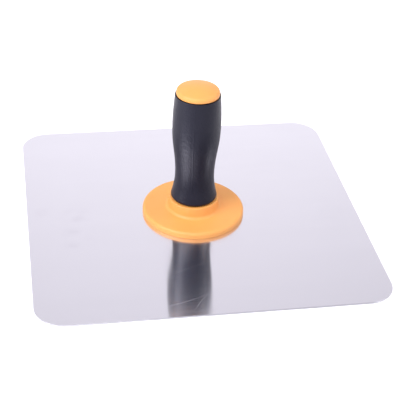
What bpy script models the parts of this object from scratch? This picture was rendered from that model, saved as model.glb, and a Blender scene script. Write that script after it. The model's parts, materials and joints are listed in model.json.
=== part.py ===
"""A mortar hawk: a square polished aluminium plate carried on a round hand grip.

The plate lies with its working face down on z = 0 and the handle stands up along +Z.
A round steel disc with a threaded stud is riveted to the plate. The handle screws down
on that stud: its orange core holds a brass insert, a soft black sleeve and an end cap.
"""

import math

import bmesh
import bpy
import numpy as np

MM = 0.001
GAP = 0.3 * MM              # between pieces that touch

# plate
PLATE_SIDE = 300.0 * MM
PLATE_THICK = 1.2 * MM
CORNER_RADIUS = 25.0 * MM
EDGE_ROUND = 0.35 * MM
CORNER_STEPS = 12

# rivets, countersunk flush into the working face
RIVET_COUNT = 4
RIVET_CIRCLE = 20.0 * MM    # radius of the circle they stand on
RIVET_FIRST_DEG = 45.0
RIVET_SHANK = 1.8 * MM
RIVET_FLUSH_HEAD = 3.0 * MM
COUNTERSINK = 0.9 * MM
RIVET_DOME = 3.2 * MM
RIVET_DOME_RISE = 0.8 * MM

# mounting disc on the handle side of the plate
DISC_RADIUS = 28.0 * MM
DISC_THICK = 2.0 * MM
DISC_BOTTOM = PLATE_THICK + GAP
DISC_TOP = DISC_BOTTOM + DISC_THICK

# threaded stud
STUD_RADIUS = 4.85 * MM
STUD_SPIGOT = 5.0 * MM
STUD_SHOULDER = 8.5 * MM
SHOULDER_BOTTOM = DISC_TOP + GAP
SHOULDER_TOP = SHOULDER_BOTTOM + 1.5 * MM
STUD_TOP = 24.0 * MM

# friction washer between the stud's shoulder and the insert
WASHER_BOTTOM = SHOULDER_TOP + GAP
WASHER_TOP = WASHER_BOTTOM + 1.0 * MM
WASHER_BORE = 5.4 * MM

# brass insert moulded into the core
INSERT_BOTTOM = WASHER_TOP + GAP
INSERT_TOP = INSERT_BOTTOM + 21.0 * MM
INSERT_CORNER = 9.0 * MM    # to the corners of its hexagon
INSERT_BORE = 5.2 * MM

# core: flange, collar and the tube inside the grip
FLANGE_RADIUS = 46.0 * MM
FLANGE_BOTTOM = PLATE_THICK + GAP
FLANGE_TOP = PLATE_THICK + 5.7 * MM
FLANGE_ROUND = 3.0 * MM
FLANGE_FOOT_ROUND = 0.8 * MM
COLLAR_FOOT = 23.2 * MM
COLLAR_TOP_RADIUS = 22.2 * MM
COLLAR_FILLET = 3.4 * MM
COLLAR_LIP = 0.7 * MM
COLLAR_TOP = PLATE_THICK + 16.1 * MM
TUBE_RADIUS = 14.0 * MM
TUBE_BORE = 11.0 * MM
TUBE_FLOOR = INSERT_TOP + 4.0 * MM
RECESS_RADIUS = 30.0 * MM
RECESS_CEILING = 5.0 * MM
WELL_RADIUS = 10.0 * MM
POCKET_COUNT = 12
POCKET_INNER = 32.0 * MM
POCKET_OUTER = 42.0 * MM
POCKET_CEILING = 4.6 * MM
RIB_THICK = 2.0 * MM

# soft grip: radius at equal steps from its foot to its top
GRIP_BOTTOM = COLLAR_TOP + GAP
GRIP_TOP = PLATE_THICK + 120.0 * MM
GRIP_RADII = [21.4, 18.2, 17.6, 18.9, 20.75, 21.35, 20.95, 19.8]
GRIP_STATIONS = 17          # rings along the grip's side
GRIP_FOOT_ROUND = 2.6 * MM
GRIP_TOP_ROUND = 0.35 * MM
GRIP_RECESS = 0.8 * MM      # step round the cap, which leaves a shadow line

# end cap
CAP_BOTTOM = GRIP_TOP + GAP
CAP_RADIUS = 18.9 * MM
CAP_CLEARANCE = 0.5 * MM    # to the step in the grip round it
CAP_SIDE = 1.8 * MM
CAP_ROUND = 3.0 * MM
CAP_DOME = 2.9 * MM
PLUG_DEPTH = 8.0 * MM
PLUG_WALL = 1.6 * MM

ROUND_STEPS = 60            # facets round the large turned pieces
SMALL_STEPS = 24            # facets round the rivets, stud and washer

PIECES = "mortar_hawk"
CUTTERS = "cutters"


def clear_scene():
    """Takes every object and spare collection out of the scene."""
    for thing in list(bpy.data.objects):
        bpy.data.objects.remove(thing, do_unlink=True)
    for group in list(bpy.data.collections):
        bpy.data.collections.remove(group)


def new_collection(name):
    group = bpy.data.collections.new(name)
    bpy.context.scene.collection.children.link(group)
    return group


def finish(name, colour, roughness, metallic):
    """A plain material for one sub-part."""
    material = bpy.data.materials.new(name)
    material.use_nodes = True
    shader = material.node_tree.nodes["Principled BSDF"]
    shader.inputs["Base Color"].default_value = (*colour, 1.0)
    shader.inputs["Roughness"].default_value = roughness
    shader.inputs["Metallic"].default_value = metallic
    material.diffuse_color = (*colour, 1.0)
    return material


def place(name, mesh, collection, material=None):
    """Links a mesh as a named object."""
    thing = bpy.data.objects.new(name, mesh)
    bpy.data.collections[collection].objects.link(thing)
    if material:
        mesh.materials.clear()
        mesh.materials.append(material)
    if collection == CUTTERS:
        thing.hide_render = True
        thing.display_type = "WIRE"
    return thing


def arc(centre_r, centre_z, radius, start_deg, end_deg, steps):
    """Points of an arc in the (radius, height) plane."""
    angles = np.radians(np.linspace(start_deg, end_deg, steps + 1))
    return [
        (centre_r + radius * math.cos(a), centre_z + radius * math.sin(a))
        for a in angles
    ]


def profile_mesh(name, points, closed):
    """A chain of edges in the XZ plane, at +X."""
    mesh = bpy.data.meshes.new(name)
    corners = [(radius, 0.0, height) for radius, height in points]
    edges = [(i, i + 1) for i in range(len(points) - 1)]
    if closed:
        edges.append((len(points) - 1, 0))
    mesh.from_pydata(corners, edges, [])
    return mesh


def turn(thing, steps):
    """Spins an object's profile a full turn round its own Z axis."""
    screw = thing.modifiers.new("turn", "SCREW")
    screw.axis = "Z"
    screw.angle = math.tau
    screw.steps = steps
    screw.render_steps = steps
    screw.use_merge_vertices = True
    screw.merge_threshold = 0.00001
    screw.use_smooth_shade = True
    return thing


def turned(name, points, steps, collection, material=None, closed=False):
    """A turned piece from a profile that runs down its outer side."""
    mesh = profile_mesh(name, points, closed)
    return turn(place(name, mesh, collection, material), steps)


def cut(thing, cutter):
    """Takes a cutter's shape out of a piece."""
    boolean = thing.modifiers.new("cut_" + cutter.name, "BOOLEAN")
    boolean.operation = "DIFFERENCE"
    boolean.solver = "EXACT"
    boolean.object = cutter


def rivet_places():
    """The centre of each rivet on its circle."""
    for i in range(RIVET_COUNT):
        angle = math.radians(RIVET_FIRST_DEG + 360.0 * i / RIVET_COUNT)
        yield RIVET_CIRCLE * math.cos(angle), RIVET_CIRCLE * math.sin(angle)


def make_rivet_cutters():
    """One countersunk cutter for each rivet hole, through the plate and the disc."""
    reach = 1.0 * MM
    shank = RIVET_SHANK + GAP
    head = RIVET_FLUSH_HEAD + GAP
    high = DISC_TOP + reach
    outline = [(0.0, high), (shank, high), (shank, COUNTERSINK), (head, 0.0), (head, -reach), (0.0, -reach)]
    cutters = []
    for i, (x, y) in enumerate(rivet_places(), start=1):
        cutter = turned(f"rivet_hole_{i}", outline, SMALL_STEPS, CUTTERS)
        cutter.location = (x, y, 0.0)
        cutters.append(cutter)
    return cutters


def make_plate(cutters):
    """A square sheet with rounded corners and a softened edge all round."""
    mesh = bpy.data.meshes.new("hawk_plate")
    shape = bmesh.new()
    bmesh.ops.create_cube(shape, size=1.0)
    bmesh.ops.scale(shape, vec=(PLATE_SIDE, PLATE_SIDE, PLATE_THICK), verts=shape.verts)
    bmesh.ops.translate(shape, vec=(0.0, 0.0, PLATE_THICK / 2), verts=shape.verts)
    upright = [e for e in shape.edges if abs(e.verts[0].co.z - e.verts[1].co.z) > PLATE_THICK / 2]
    bmesh.ops.bevel(
        shape,
        geom=upright,
        offset=CORNER_RADIUS,
        segments=CORNER_STEPS,
        profile=0.5,
        affect="EDGES",
    )
    shape.to_mesh(mesh)
    shape.free()
    plate = place("hawk_plate", mesh, PIECES, finish("polished_aluminium", (0.88, 0.88, 0.91), 0.2, 1.0))
    rounding = plate.modifiers.new("soft_edge", "BEVEL")
    rounding.width = EDGE_ROUND
    rounding.segments = 2
    rounding.limit_method = "ANGLE"
    rounding.angle_limit = math.radians(60)
    for cutter in cutters:
        cut(plate, cutter)


def make_mounting_disc(cutters):
    """The steel disc that spreads the handle's load over the plate."""
    edge = 0.4 * MM
    bore = STUD_SPIGOT + GAP
    outline = [
        (bore, DISC_TOP),
        (DISC_RADIUS - edge, DISC_TOP),
        (DISC_RADIUS, DISC_TOP - edge),
        (DISC_RADIUS, DISC_BOTTOM),
        (bore, DISC_BOTTOM),
    ]
    steel = finish("zinc_plated_steel", (0.62, 0.63, 0.65), 0.35, 1.0)
    disc = turned("mounting_disc", outline, ROUND_STEPS, PIECES, steel, closed=True)
    for cutter in cutters:
        cut(disc, cutter)
    return steel


def make_rivets():
    """Solid rivets: countersunk flush below, a low dome over the disc above."""
    foot = DISC_TOP + GAP
    outline = [(0.0, foot + RIVET_DOME_RISE)]
    for k in (1, 2, 3):
        angle = math.radians(30 * k)
        outline.append((RIVET_DOME * math.sin(angle), foot + RIVET_DOME_RISE * math.cos(angle)))
    outline += [(RIVET_SHANK, foot), (RIVET_SHANK, COUNTERSINK), (RIVET_FLUSH_HEAD, 0.0), (0.0, 0.0)]
    mesh = profile_mesh("rivet", outline, closed=False)
    soft_metal = finish("rivet_aluminium", (0.80, 0.80, 0.82), 0.3, 1.0)
    for i, (x, y) in enumerate(rivet_places(), start=1):
        rivet = place(f"rivet_{i}", mesh, PIECES, soft_metal)
        rivet.location = (x, y, 0.0)
        turn(rivet, SMALL_STEPS)


def make_stud(steel):
    """A shouldered stud; its spigot sits in the disc's bore."""
    tip = 1.0 * MM
    edge = 0.3 * MM
    outline = [
        (0.0, STUD_TOP),
        (STUD_RADIUS - tip, STUD_TOP),
        (STUD_RADIUS, STUD_TOP - tip),
        (STUD_RADIUS, SHOULDER_TOP),
        (STUD_SHOULDER - edge, SHOULDER_TOP),
        (STUD_SHOULDER, SHOULDER_TOP - edge),
        (STUD_SHOULDER, SHOULDER_BOTTOM),
        (STUD_SPIGOT, SHOULDER_BOTTOM),
        (STUD_SPIGOT, DISC_BOTTOM),
        (0.0, DISC_BOTTOM),
    ]
    turned("threaded_stud", outline, SMALL_STEPS, PIECES, steel)


def make_washer():
    """The nylon washer that keeps the screwed joint tight."""
    outline = [
        (WASHER_BORE, WASHER_TOP),
        (STUD_SHOULDER, WASHER_TOP),
        (STUD_SHOULDER, WASHER_BOTTOM),
        (WASHER_BORE, WASHER_BOTTOM),
    ]
    nylon = finish("nylon", (0.85, 0.84, 0.80), 0.5, 0.0)
    turned("friction_washer", outline, SMALL_STEPS, PIECES, nylon, closed=True)


def hexagon_prism(name, corner, low, high, collection, material=None):
    """A six-sided prism standing on the axis."""
    mesh = bpy.data.meshes.new(name)
    shape = bmesh.new()
    bmesh.ops.create_cone(
        shape, cap_ends=True, segments=6, radius1=corner, radius2=corner, depth=high - low
    )
    bmesh.ops.translate(shape, vec=(0.0, 0.0, (low + high) / 2), verts=shape.verts)
    shape.to_mesh(mesh)
    shape.free()
    return place(name, mesh, collection, material)


def make_insert():
    """A hexagonal brass insert, bored through for the stud."""
    brass = finish("brass", (0.78, 0.60, 0.28), 0.35, 1.0)
    insert = hexagon_prism("threaded_insert", INSERT_CORNER, INSERT_BOTTOM, INSERT_TOP, PIECES, brass)
    reach = 1.0 * MM
    outline = [
        (0.0, INSERT_TOP + reach),
        (INSERT_BORE, INSERT_TOP + reach),
        (INSERT_BORE, INSERT_BOTTOM - reach),
        (0.0, INSERT_BOTTOM - reach),
    ]
    cut(insert, turned("insert_bore", outline, SMALL_STEPS, CUTTERS))


def make_pocket_cutter(index):
    """One pocket between two ribs under the flange, as a bent block."""
    steps = 3
    pitch = math.tau / POCKET_COUNT
    low = FLANGE_BOTTOM - 1.0 * MM
    mesh = bpy.data.meshes.new(f"pocket_{index}")
    shape = bmesh.new()
    corners = []
    for radius in (POCKET_INNER, POCKET_OUTER):
        half = pitch / 2 - RIB_THICK / 2 / radius
        middle = pitch * (index + 0.5)
        for k in range(steps + 1):
            angle = middle - half + 2 * half * k / steps
            corners.append((radius * math.cos(angle), radius * math.sin(angle), low))
    inner, outer = corners[: steps + 1], corners[steps + 1 :]
    floor = shape.faces.new([shape.verts.new(c) for c in inner[::-1] + outer])
    floor.normal_update()
    grown = bmesh.ops.extrude_face_region(shape, geom=[floor])
    top = [v for v in grown["geom"] if isinstance(v, bmesh.types.BMVert)]
    bmesh.ops.translate(shape, vec=(0.0, 0.0, POCKET_CEILING - low), verts=top)
    bmesh.ops.recalc_face_normals(shape, faces=shape.faces)
    shape.to_mesh(mesh)
    shape.free()
    return place(f"pocket_{index}", mesh, CUTTERS)


def make_core(orange):
    """Flange, collar and tube in one moulding, hollow underneath."""
    fillet_z = FLANGE_TOP + COLLAR_FILLET
    outline = [(TUBE_BORE, GRIP_TOP), (TUBE_RADIUS, GRIP_TOP), (TUBE_RADIUS, COLLAR_TOP)]
    outline += arc(COLLAR_TOP_RADIUS - COLLAR_LIP, COLLAR_TOP - COLLAR_LIP, COLLAR_LIP, 90, 0, 3)
    outline += arc(COLLAR_FOOT + COLLAR_FILLET, fillet_z, COLLAR_FILLET, 180, 270, 5)
    outline += arc(FLANGE_RADIUS - FLANGE_ROUND, FLANGE_TOP - FLANGE_ROUND, FLANGE_ROUND, 90, 0, 6)
    outline += arc(
        FLANGE_RADIUS - FLANGE_FOOT_ROUND, FLANGE_BOTTOM + FLANGE_FOOT_ROUND, FLANGE_FOOT_ROUND, 0, -90, 3
    )
    outline += [
        (RECESS_RADIUS, FLANGE_BOTTOM),
        (RECESS_RADIUS, RECESS_CEILING),
        (WELL_RADIUS, RECESS_CEILING),
        (WELL_RADIUS, INSERT_BOTTOM),
        (0.0, INSERT_BOTTOM),
    ]
    outline = [(0.0, TUBE_FLOOR), (TUBE_BORE, TUBE_FLOOR)] + outline
    core = turned("handle_core", outline, ROUND_STEPS, PIECES, orange)
    seat = hexagon_prism("insert_seat", INSERT_CORNER + GAP, INSERT_BOTTOM - MM, INSERT_TOP + GAP, CUTTERS)
    cut(core, seat)
    for index in range(POCKET_COUNT):
        cut(core, make_pocket_cutter(index))


def smooth_radius(heights, radii, at):
    """A natural cubic spline through the grip's radii."""
    count = len(heights)
    step = np.diff(heights)
    system = np.eye(count)
    bend = np.zeros(count)
    for i in range(1, count - 1):
        system[i, i - 1 : i + 2] = (step[i - 1], 2 * (step[i - 1] + step[i]), step[i])
        bend[i] = 6 * ((radii[i + 1] - radii[i]) / step[i] - (radii[i] - radii[i - 1]) / step[i - 1])
    curve = np.linalg.solve(system, bend)
    i = np.clip(np.searchsorted(heights, at) - 1, 0, count - 2)
    left, right = at - heights[i], heights[i + 1] - at
    return (
        (curve[i] * right**3 + curve[i + 1] * left**3) / (6 * step[i])
        + (radii[i] / step[i] - curve[i] * step[i] / 6) * right
        + (radii[i + 1] / step[i] - curve[i + 1] * step[i] / 6) * left
    )


def make_grip():
    """The soft sleeve: waisted near the flange, swelling into the palm."""
    heights = np.linspace(GRIP_BOTTOM, GRIP_TOP, len(GRIP_RADII))
    radii = np.array(GRIP_RADII) * MM
    stations = np.linspace(GRIP_TOP - GRIP_TOP_ROUND, GRIP_BOTTOM + GRIP_FOOT_ROUND, GRIP_STATIONS)
    side = smooth_radius(heights, radii, stations)
    bore = TUBE_RADIUS + GAP
    step = CAP_RADIUS + CAP_CLEARANCE
    outline = [(bore, GRIP_TOP - GRIP_RECESS), (step, GRIP_TOP - GRIP_RECESS), (step, GRIP_TOP)]
    outline += arc(side[0] - GRIP_TOP_ROUND, GRIP_TOP - GRIP_TOP_ROUND, GRIP_TOP_ROUND, 90, 30, 2)
    outline += [(float(r), float(z)) for r, z in zip(side, stations)]
    foot = arc(side[-1] - GRIP_FOOT_ROUND, GRIP_BOTTOM + GRIP_FOOT_ROUND, GRIP_FOOT_ROUND, 0, -90, 4)
    outline += foot[1:]
    outline.append((bore, GRIP_BOTTOM))
    rubber = finish("soft_rubber", (0.03, 0.03, 0.035), 0.55, 0.0)
    turned("soft_grip", outline, ROUND_STEPS, PIECES, rubber, closed=True)


def make_cap(orange):
    """A low domed cap with a hollow plug that presses into the tube."""
    shoulder = CAP_BOTTOM + CAP_SIDE
    flat = CAP_RADIUS - CAP_ROUND
    crown = shoulder + CAP_ROUND
    outline = [(0.0, crown + CAP_DOME)]
    for part in (0.25, 0.5, 0.75):
        outline.append((flat * part, crown + CAP_DOME * (1 - part**2)))
    outline += arc(flat, shoulder, CAP_ROUND, 90, 0, 5)
    plug = TUBE_BORE - GAP
    plug_end = CAP_BOTTOM - PLUG_DEPTH
    outline += [
        (CAP_RADIUS, CAP_BOTTOM),
        (plug, CAP_BOTTOM),
        (plug, plug_end),
        (plug - PLUG_WALL, plug_end),
        (plug - PLUG_WALL, CAP_BOTTOM),
        (0.0, CAP_BOTTOM),
    ]
    turned("end_cap", outline, ROUND_STEPS, PIECES, orange)


def build():
    clear_scene()
    new_collection(PIECES)
    new_collection(CUTTERS)
    cutters = make_rivet_cutters()
    make_plate(cutters)
    steel = make_mounting_disc(cutters)
    make_rivets()
    make_stud(steel)
    make_washer()
    make_insert()
    orange = finish("orange_moulding", (0.95, 0.46, 0.09), 0.45, 0.0)
    make_core(orange)
    make_grip()
    make_cap(orange)


build()
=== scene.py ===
# %% [markdown]
# # A mortar hawk
# A hawk is the square plate that a plasterer holds in one hand and loads with mortar. This one is
# a polished aluminium sheet on a round grip that unscrews, and it stands here on its working face
# with the handle up. The solid model already fixes every size and place. This lesson gives each
# piece its fine surface and its finish: first the plate and the hardware under the handle, then
# the orange core, the black grip and the end cap.

# %% Load the fixed frame
import json
import math

import bmesh
import bpy
import numpy as np
from mathutils import Matrix, Vector

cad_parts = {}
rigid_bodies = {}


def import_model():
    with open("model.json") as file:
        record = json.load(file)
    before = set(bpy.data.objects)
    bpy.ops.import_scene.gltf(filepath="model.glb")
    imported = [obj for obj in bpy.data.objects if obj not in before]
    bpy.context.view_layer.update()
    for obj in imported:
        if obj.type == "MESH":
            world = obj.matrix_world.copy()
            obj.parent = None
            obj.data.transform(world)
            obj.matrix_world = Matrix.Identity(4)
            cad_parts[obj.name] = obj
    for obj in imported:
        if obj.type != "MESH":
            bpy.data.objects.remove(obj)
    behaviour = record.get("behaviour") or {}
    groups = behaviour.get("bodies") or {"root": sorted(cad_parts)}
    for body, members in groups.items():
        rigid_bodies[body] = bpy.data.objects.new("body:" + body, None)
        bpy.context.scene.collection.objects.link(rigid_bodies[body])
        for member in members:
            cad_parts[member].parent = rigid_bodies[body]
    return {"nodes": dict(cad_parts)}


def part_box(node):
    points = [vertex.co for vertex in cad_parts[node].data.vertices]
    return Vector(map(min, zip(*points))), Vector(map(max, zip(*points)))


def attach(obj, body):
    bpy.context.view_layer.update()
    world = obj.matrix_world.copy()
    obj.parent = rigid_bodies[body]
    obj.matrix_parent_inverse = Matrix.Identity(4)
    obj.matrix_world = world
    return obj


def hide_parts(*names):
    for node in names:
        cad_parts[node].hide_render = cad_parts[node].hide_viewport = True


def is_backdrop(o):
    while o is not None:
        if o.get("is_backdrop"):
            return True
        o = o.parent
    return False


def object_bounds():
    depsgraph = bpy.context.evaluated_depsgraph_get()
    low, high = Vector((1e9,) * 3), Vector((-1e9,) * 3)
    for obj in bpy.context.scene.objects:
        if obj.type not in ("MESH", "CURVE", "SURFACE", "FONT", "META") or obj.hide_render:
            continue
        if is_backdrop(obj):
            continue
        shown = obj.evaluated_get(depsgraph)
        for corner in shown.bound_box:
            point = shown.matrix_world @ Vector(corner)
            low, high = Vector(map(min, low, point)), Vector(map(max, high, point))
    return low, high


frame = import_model()
cad_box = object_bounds()
MM = 0.001
for node in sorted(frame["nodes"]):
    low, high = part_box(node)
    print(f"{node:16s} {(high.x - low.x) / MM:6.1f} wide, z {low.z / MM:6.2f} to {high.z / MM:6.2f} mm")

# %% [markdown]
# ## The camera
# A camera is placed by where it stands, where it looks and how far it is rolled. Blender would
# take three Euler angles, but a rolled camera is easier to read as three axes that are built one
# from another: ahead, right and up. The lens is long, so the plate's sides stay nearly parallel.

# %% Camera
VIEW_AZIMUTH = math.radians(10.94)
VIEW_DROP = math.radians(33.59)
VIEW_ROLL = math.radians(2.78)
VIEW_PLACE = Vector((-0.1541, -0.8290, 0.5725))
LENS_MM = 100.05
SENSOR_MM = 36.0

ahead = Vector(
    (
        math.sin(VIEW_AZIMUTH) * math.cos(VIEW_DROP),
        math.cos(VIEW_AZIMUTH) * math.cos(VIEW_DROP),
        -math.sin(VIEW_DROP),
    )
)
level_right = ahead.cross(Vector((0, 0, 1))).normalized()
level_up = level_right.cross(ahead)
right = level_right * math.cos(VIEW_ROLL) + level_up * math.sin(VIEW_ROLL)
up = right.cross(ahead)
camera_data = bpy.data.cameras.new("camera")
camera_data.lens = LENS_MM
camera_data.sensor_width = SENSOR_MM
camera = bpy.data.objects.new("camera", camera_data)
bpy.context.scene.collection.objects.link(camera)
turn = Matrix((right, up, -ahead)).transposed()
camera.matrix_world = Matrix.Translation(VIEW_PLACE) @ turn.to_4x4()
bpy.context.scene.camera = camera
print("camera stands", round(VIEW_PLACE.length, 3), "m from the middle of the plate")

# %% [markdown]
# ## Short calls for node trees
# A sky and a finish are both trees of nodes. They could be wired by hand in the editor, or written
# out socket by socket, which takes a page for each. Here a small class adds a node, joins it and
# hands back its output, so a tree reads like a sum. A second class builds on the first one, with
# the few nodes that make patterns and colours.

# %% Adding and joining nodes
def fill(sockets, numbers):
    """Sets sockets by name. An underscore in a name stands for a space."""
    for label, number in numbers.items():
        sockets[label.replace("_", " ")].default_value = number


class Wiring:
    """Adds nodes to one tree and joins them."""

    def __init__(self, tree):
        self.tree = tree

    def add(self, kind, **settings):
        """A new node with its settings made."""
        node = self.tree.nodes.new(kind)
        for key, value in settings.items():
            setattr(node, key, value)
        return node

    def join(self, source, target):
        """A link from an output to an input."""
        self.tree.links.new(source, target)

    def give(self, socket, given):
        """Joins another node's output to the socket, or sets it to a plain value."""
        if hasattr(given, "is_output"):
            self.join(given, socket)
        else:
            socket.default_value = given

    def place(self):
        """Each point's place on its own piece, which the handle takes with it as it turns."""
        return self.add("ShaderNodeTexCoord").outputs["Object"]

    def math(self, operation, a, b=0.0, clamp=False):
        """One sum of two numbers, held between nothing and one where it is clamped."""
        node = self.add("ShaderNodeMath", operation=operation, use_clamp=clamp)
        self.give(node.inputs[0], a)
        self.give(node.inputs[1], b)
        return node.outputs[0]


def calls(kind):
    """The names of a class's short calls."""
    return ", ".join(name for name in vars(kind) if not name.startswith("_"))


print("wiring calls:", calls(Wiring))

# %% Patterns and colours
class Nodes(Wiring):
    """Short calls for the patterns and colours of one tree."""

    def noise(self, where, scale, detail=2.0, rough=0.5):
        """Soft random patches between nothing and one, about scale of them to a metre."""
        node = self.add("ShaderNodeTexNoise")
        self.give(node.inputs["Vector"], where)
        self.give(node.inputs["Scale"], scale)
        fill(node.inputs, {"Detail": detail, "Roughness": rough})
        return node.outputs["Fac"]

    def stretch(self, where, scale):
        """The place multiplied along each axis. A pattern is drawn out where the scale is small."""
        node = self.add("ShaderNodeMapping")
        self.give(node.inputs["Vector"], where)
        fill(node.inputs, {"Scale": scale})
        return node.outputs["Vector"]

    def span(self, value, low, high, to_low=0.0, to_high=1.0):
        """How far the value is from low to high, as the same share of to_low to to_high."""
        node = self.add("ShaderNodeMapRange")
        self.give(node.inputs["Value"], value)
        fill(node.inputs, {"From Min": low, "From Max": high, "To Min": to_low, "To Max": to_high})
        return node.outputs["Result"]

    def blend(self, share, first, second):
        """The first colour plus a share of the way to the second.

        A mix node has sockets for every kind of data. Its colours are inputs 6 and 7, output 2.
        """
        node = self.add("ShaderNodeMix", data_type="RGBA")
        self.give(node.inputs["Factor"], share)
        self.give(node.inputs[6], first)
        self.give(node.inputs[7], second)
        return node.outputs[2]

    def bump(self, height, depth):
        """The normal of a surface that is raised by the height times the depth."""
        node = self.add("ShaderNodeBump")
        self.join(height, node.inputs["Height"])
        fill(node.inputs, {"Distance": depth, "Strength": 1.0})
        return node.outputs["Normal"]


print("pattern calls:", calls(Nodes))

# %% [markdown]
# ## The sky
# Polished metal shows its surroundings, so the surroundings are the light. The sky is a dome that
# is white at the horizon and dims upwards, which gives the plate its fade from white at the far
# edge to grey-lilac at the near one. A picture of a studio could be wrapped round the scene, but a
# ramp up the dome is smooth, and each of its stops can be set by hand. A second factor makes the
# dome brightest straight ahead and lets it fall off to both sides.

# %% Sky dome
SKY_STOPS = (               # sine of the height above the horizon, and the colour there
    (0.00, (1.00, 0.98, 1.00)),
    (0.46, (0.97, 0.94, 1.00)),
    (0.64, (0.66, 0.635, 0.685)),
    (0.70, (0.59, 0.57, 0.62)),
    (0.85, (0.52, 0.50, 0.56)),
    (1.00, (0.68, 0.67, 0.72)),
)
BRIGHT_HEADING = VIEW_AZIMUTH - 0.05
OFF_HEADING = (0.92, 1.0)   # cosine of the angle off that heading
SIDE_LIGHT = (0.90, 1.17)   # the light's strength at those two

scene = bpy.context.scene
scene.view_settings.view_transform = "Standard"
world = bpy.data.worlds.new("studio")
scene.world = world
world.use_nodes = True
world.node_tree.nodes.clear()
make = Nodes(world.node_tree)
outwards = make.add("ShaderNodeTexCoord").outputs["Generated"]
level = make.add("ShaderNodeVectorMath", operation="MULTIPLY")
level.inputs[1].default_value = (1.0, 1.0, 0.0)
make.join(outwards, level.inputs[0])
heading = make.add("ShaderNodeVectorMath", operation="NORMALIZE")
make.join(level.outputs["Vector"], heading.inputs[0])
facing = make.add("ShaderNodeVectorMath", operation="DOT_PRODUCT")
facing.inputs[1].default_value = (math.sin(BRIGHT_HEADING), math.cos(BRIGHT_HEADING), 0.0)
make.join(heading.outputs["Vector"], facing.inputs[0])
climb = make.add("ShaderNodeSeparateXYZ")
make.join(outwards, climb.inputs[0])
ramp = make.add("ShaderNodeValToRGB")
make.join(climb.outputs["Z"], ramp.inputs["Fac"])
stops = ramp.color_ramp.elements
while len(stops) < len(SKY_STOPS):
    stops.new(0.5)
for stop, (height, colour) in zip(stops, SKY_STOPS):
    stop.position = height
    stop.color = (*colour, 1.0)
dome = make.add("ShaderNodeBackground")
make.join(ramp.outputs["Color"], dome.inputs["Color"])
make.join(make.span(facing.outputs["Value"], *OFF_HEADING, *SIDE_LIGHT), dome.inputs["Strength"])
make.join(dome.outputs[0], make.add("ShaderNodeOutputWorld").inputs["Surface"])
print("sky dome with", len(stops), "stops")

# %% [markdown]
# ## The lamps
# Three wide lamps stand high round the tool. A point lamp would be sharper than any studio light,
# so each is a rectangle. They stand high because the plate is a mirror: a low lamp would show in
# it as a white patch. The plate itself throws the left one's light back up, which is what draws
# the soft band down the waist of the grip.

# %% Lamps
def soft_lamp(name, place, target, width, height, power):
    """A rectangular lamp at place, turned to face target."""
    data = bpy.data.lights.new(name, "AREA")
    data.shape = "RECTANGLE"
    data.size = width
    data.size_y = height
    data.energy = power
    lamp = bpy.data.objects.new(name, data)
    scene.collection.objects.link(lamp)
    lamp.location = place
    lamp.rotation_mode = "QUATERNION"
    lamp.rotation_quaternion = (Vector(target) - Vector(place)).to_track_quat("-Z", "Y")
    print(f"{name}: {width} x {height} m, {power} W")
    return lamp


PLATE_MIDDLE = (0, 0, 0)
HANDLE_MIDDLE = (0, 0, 0.06)
soft_lamp("left_softbox", (-1.05, -0.42, 1.15), HANDLE_MIDDLE, width=1.0, height=0.7, power=16)
soft_lamp("right_softbox", (1.0, -0.1, 1.2), HANDLE_MIDDLE, width=0.6, height=0.6, power=4)
soft_lamp("top_softbox", (-0.4, -0.8, 1.5), PLATE_MIDDLE, width=1.0, height=1.0, power=12)

# %% [markdown]
# ## The floor
# The tool stands on a plain white table. A backdrop could be swept up behind it, but the sky is as
# white as the table there, so one large square does. It lies a hair below the plate's working face,
# and the two never fight for the same height. A touch of glow keeps its far side from turning grey.

# %% Floor
def material(name, **numbers):
    """A new material with the numbers that hold all over it, its shader and its node maker."""
    made = bpy.data.materials.new(name)
    made.use_nodes = True
    shader = made.node_tree.nodes["Principled BSDF"]
    fill(shader.inputs, numbers)
    print("material", name)
    return made, shader, Nodes(made.node_tree)


FLOOR_HALF = 6.0
FLOOR_DROP = 0.2 * MM
floor_paint, _, _ = material(
    "floor_paint",
    Base_Color=(0.93, 0.92, 0.95, 1.0),
    Roughness=0.9,
    Specular_IOR_Level=0.1,
    Emission_Color=(1.0, 1.0, 1.0, 1.0),
    Emission_Strength=0.22,
)
corners = FLOOR_HALF * np.array([(-1, -1, 0), (1, -1, 0), (1, 1, 0), (-1, 1, 0)])
floor_mesh = bpy.data.meshes.new("floor")
floor_mesh.from_pydata(corners.tolist(), [], [(0, 1, 2, 3)])
floor_mesh.materials.append(floor_paint)
floor = bpy.data.objects.new("floor", floor_mesh)
floor.location.z = -FLOOR_DROP
scene.collection.objects.link(floor)
floor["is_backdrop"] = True
print("floor is", 2 * FLOOR_HALF, "m square")

# %% [markdown]
# ## From numbers to a mesh
# Every piece below is a grid: rows run along a profile, and columns run round the axis. Blender's
# spin tool could turn a profile too, but a grid worked out as whole arrays can also carry a
# thread, ribs or a seam. It is handed over in one call. Where a row shrinks to a point, or the
# last column meets the first, the doubled points are merged, so the skin closes.

# %% Grid helpers
MERGE_GAP = 1e-7            # points closer than this, in metres, become one
SLIVER = 1e-8               # edges shorter than this are taken away


def grid_faces(rows, columns, wrap_rows=False, wrap_columns=True, first=0):
    """The four corners of every cell of a grid whose points are stored row by row.

    Point (i, j) has number i * columns + j. A cell joins (i, j), (i + 1, j), (i + 1, j + 1) and
    (i, j + 1), and a wrapped grid counts on from its last row or column to its first.
    """
    i = np.arange(rows if wrap_rows else rows - 1)[:, None]
    j = np.arange(columns if wrap_columns else columns - 1)[None, :]
    below, beside = (i + 1) % rows, (j + 1) % columns
    cell = (i * columns + j, below * columns + j, below * columns + beside, i * columns + beside)
    return first + np.stack(cell, axis=-1).reshape(-1, 4)


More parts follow.
